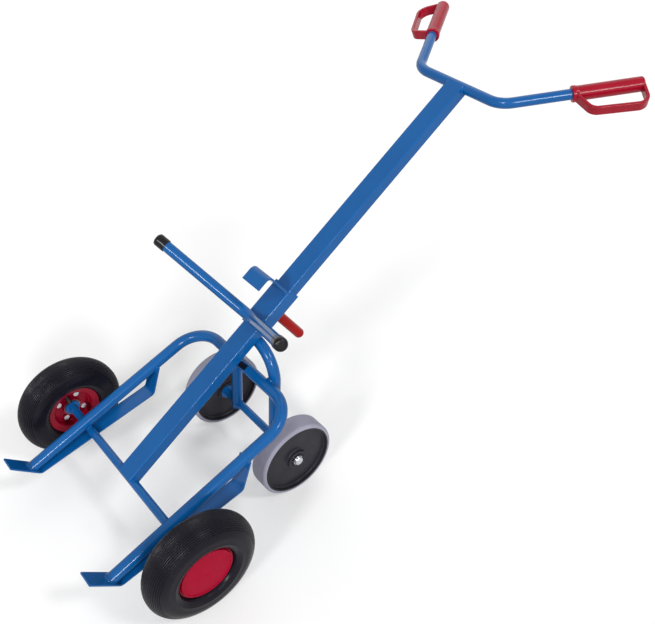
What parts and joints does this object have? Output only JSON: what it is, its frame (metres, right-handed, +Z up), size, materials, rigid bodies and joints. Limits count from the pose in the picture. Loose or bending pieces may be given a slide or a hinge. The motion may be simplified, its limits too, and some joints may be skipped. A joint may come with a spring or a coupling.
{
  "type": "drum trolley",
  "caption": "Wheeled trolley for one upright drum: leaning box mast with handle bar, tube frame with toe bars, sliding hook and V cradle, tyred front wheels and small rear wheels.",
  "frame": {"origin": "on the floor, in the middle of the outline as seen from above, with the trolley parked on its four wheels", "axes": "+X across the trolley to its right side, +Y backwards from the toe bars to the handle, +Z up"},
  "size_m": [0.7212, 1.4338, 0.8892],
  "materials": {
    "blue_paint": "gloss powder coat",
    "red_paint": "gloss paint",
    "red_cap": "satin",
    "red_grip": "satin",
    "red_dip": "dipped gloss",
    "black_plastic": "satin",
    "black_core": "moulded",
    "grey_rubber": "non-marking tread",
    "tyre_rubber": "ribbed",
    "tube_rubber": "smooth",
    "valve_rubber": "smooth",
    "zinc_steel": "zinc plated",
    "bearing_steel": "ground",
    "white_nylon": "moulded"
  },
  "bodies": {
    "frame": {"mast": "blue_paint", "handle_bar": "blue_paint", "front_axle": "blue_paint", "front_inner_washers": "blue_paint", "front_outer_washers": "zinc_steel", "front_split_pins": "zinc_steel", "hoop_frame": "blue_paint", "rear_arch": "blue_paint", "rear_axle": "blue_paint", "rear_axle_collars": "blue_paint", "rear_axle_caps": "zinc_steel", "spacer_tube": "blue_paint", "spacer_plugs": "black_plastic", "right_toe_bar": "blue_paint", "left_toe_bar": "blue_paint", "right_grip": "red_grip", "left_grip": "red_grip"},
    "slider": {"sleeve": "blue_paint", "hook": "blue_paint", "cradle": "blue_paint", "sleeve_rod": "blue_paint", "rod_grip": "red_dip", "right_cradle_cap": "black_plastic", "left_cradle_cap": "black_plastic"},
    "right_front_wheel": {"right_front_tyre": "tyre_rubber", "right_front_inner_tube": "tube_rubber", "right_front_rim_outer": "red_paint", "right_front_rim_inner": "red_paint", "right_front_rim_bolts": "zinc_steel", "right_front_rim_nuts": "zinc_steel", "right_front_hub_tube": "red_paint", "right_front_bearings": "bearing_steel", "right_front_valve": "valve_rubber", "right_front_hub_cap": "red_cap"},
    "right_rear_wheel": {"right_rear_tread": "grey_rubber", "right_rear_core": "black_core", "right_rear_bush": "white_nylon"},
    "left_front_wheel": {"left_front_tyre": "tyre_rubber", "left_front_inner_tube": "tube_rubber", "left_front_rim_outer": "red_paint", "left_front_rim_inner": "red_paint", "left_front_rim_bolts": "zinc_steel", "left_front_rim_nuts": "zinc_steel", "left_front_hub_tube": "red_paint", "left_front_bearings": "bearing_steel", "left_front_valve": "valve_rubber", "left_front_hub_cap": "red_cap"},
    "left_rear_wheel": {"left_rear_tread": "grey_rubber", "left_rear_core": "black_core", "left_rear_bush": "white_nylon"}
  },
  "joints": [
    {"name": "sleeve_slide", "type": "slide", "parent": "frame", "child": "slider", "axis": [0, 0.8111, 0.585], "range_m": [0, 0.602]},
    {"name": "right_front_spin", "type": "hinge", "parent": "frame", "child": "right_front_wheel", "pos_m": [0.299, -0.51165, 0.13], "axis": [1, 0, 0], "continuous": true},
    {"name": "right_rear_spin", "type": "hinge", "parent": "frame", "child": "right_rear_wheel", "pos_m": [0.1505, -0.16065, 0.1], "axis": [1, 0, 0], "continuous": true},
    {"name": "left_front_spin", "type": "hinge", "parent": "frame", "child": "left_front_wheel", "pos_m": [-0.299, -0.51165, 0.13], "axis": [1, 0, 0], "continuous": true},
    {"name": "left_rear_spin", "type": "hinge", "parent": "frame", "child": "left_rear_wheel", "pos_m": [-0.1505, -0.16065, 0.1], "axis": [1, 0, 0], "continuous": true}
  ]
}
